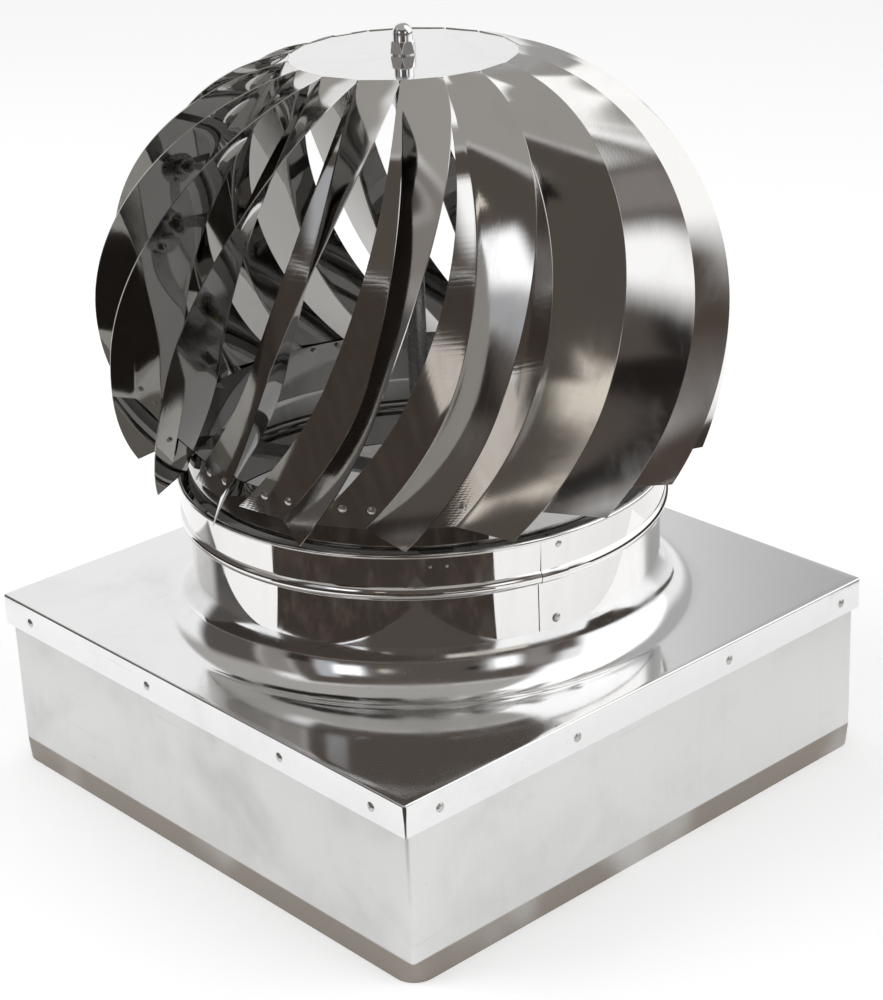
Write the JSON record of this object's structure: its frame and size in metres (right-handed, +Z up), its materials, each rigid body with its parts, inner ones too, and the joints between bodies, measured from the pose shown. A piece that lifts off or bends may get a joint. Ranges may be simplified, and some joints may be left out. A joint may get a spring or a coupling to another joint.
{
  "type": "roof turbine ventilator",
  "caption": "Rotating globe ventilator of folded sheet blades on a round neck and a square curb box, for the top of a flue or roof duct.",
  "frame": {"origin": "on the rotor's axis, in the plane that the curb box stands on", "axes": "+Z up along the rotor's axis; X and Y along the sides of the square curb box"},
  "size_m": [0.5026, 0.5026, 0.6168],
  "materials": {
    "box_sheet": "satin stainless sheet",
    "cover_sheet": "bright rolled stainless sheet",
    "collar_sheet": "mirror-polished stainless sheet",
    "blade_sheet": "mirror-polished stainless sheet",
    "crown_sheet": "mirror-polished stainless sheet",
    "ring_sheet": "mirror-polished stainless sheet",
    "rivet_steel": "plain stainless rivets",
    "arm_bar": "flat bar",
    "turned_steel": "turned",
    "zinc_fasteners": "zinc plated",
    "cap_nut_chrome": "polished",
    "spring_steel": "blued",
    "bearing_steel": "ground",
    "cage_brass": "pressed"
  },
  "bodies": {
    "base": {"base_box": "box_sheet", "base_cover": "cover_sheet", "cover_rivets": "rivet_steel", "neck_collar": "collar_sheet", "neck_seam_rivets": "rivet_steel", "spider_arm_1": "arm_bar", "spider_arm_2": "arm_bar", "spider_arm_3": "arm_bar", "arm_rivets": "rivet_steel", "bearing_housing": "turned_steel", "housing_screws": "zinc_fasteners", "housing_nuts": "zinc_fasteners", "lower_retaining_ring": "spring_steel", "upper_retaining_ring": "spring_steel", "lower_bearing_outer_ring": "bearing_steel", "upper_bearing_outer_ring": "bearing_steel"},
    "rotor": {"spindle": "turned_steel", "lower_bearing_inner_ring": "bearing_steel", "upper_bearing_inner_ring": "bearing_steel", "spindle_lock_washer": "zinc_fasteners", "spindle_lock_nut": "zinc_fasteners", "crown_plate": "crown_sheet", "crown_lower_washer": "zinc_fasteners", "crown_upper_washer": "zinc_fasteners", "crown_jam_nut": "zinc_fasteners", "crown_cap_nut": "cap_nut_chrome", "rotor_ring": "ring_sheet", "blade_rivets": "rivet_steel", "blade_01": "blade_sheet", "blade_02": "blade_sheet", "blade_03": "blade_sheet", "blade_04": "blade_sheet", "blade_05": "blade_sheet", "blade_06": "blade_sheet", "blade_07": "blade_sheet", "blade_08": "blade_sheet", "blade_09": "blade_sheet", "blade_10": "blade_sheet", "blade_11": "blade_sheet", "blade_12": "blade_sheet", "blade_13": "blade_sheet", "blade_14": "blade_sheet", "blade_15": "blade_sheet", "blade_16": "blade_sheet", "blade_17": "blade_sheet", "blade_18": "blade_sheet"},
    "lower_ball_set": {"lower_bearing_balls": "bearing_steel", "lower_bearing_cage": "cage_brass"},
    "upper_ball_set": {"upper_bearing_balls": "bearing_steel", "upper_bearing_cage": "cage_brass"}
  },
  "joints": [
    {"name": "rotor_spin", "type": "hinge", "parent": "base", "child": "rotor", "pos_m": [0, 0, 0.3], "axis": [0, 0, 1], "continuous": true},
    {"name": "lower_balls_roll", "type": "hinge", "parent": "base", "child": "lower_ball_set", "pos_m": [0, 0, 0.235], "axis": [0, 0, 1], "continuous": true},
    {"name": "upper_balls_roll", "type": "hinge", "parent": "base", "child": "upper_ball_set", "pos_m": [0, 0, 0.285], "axis": [0, 0, 1], "continuous": true}
  ],
  "couplings": [
    {"joint": "lower_balls_roll", "follows": "rotor_spin", "ratio": 0.3682},
    {"joint": "upper_balls_roll", "follows": "rotor_spin", "ratio": 0.3682}
  ]
}
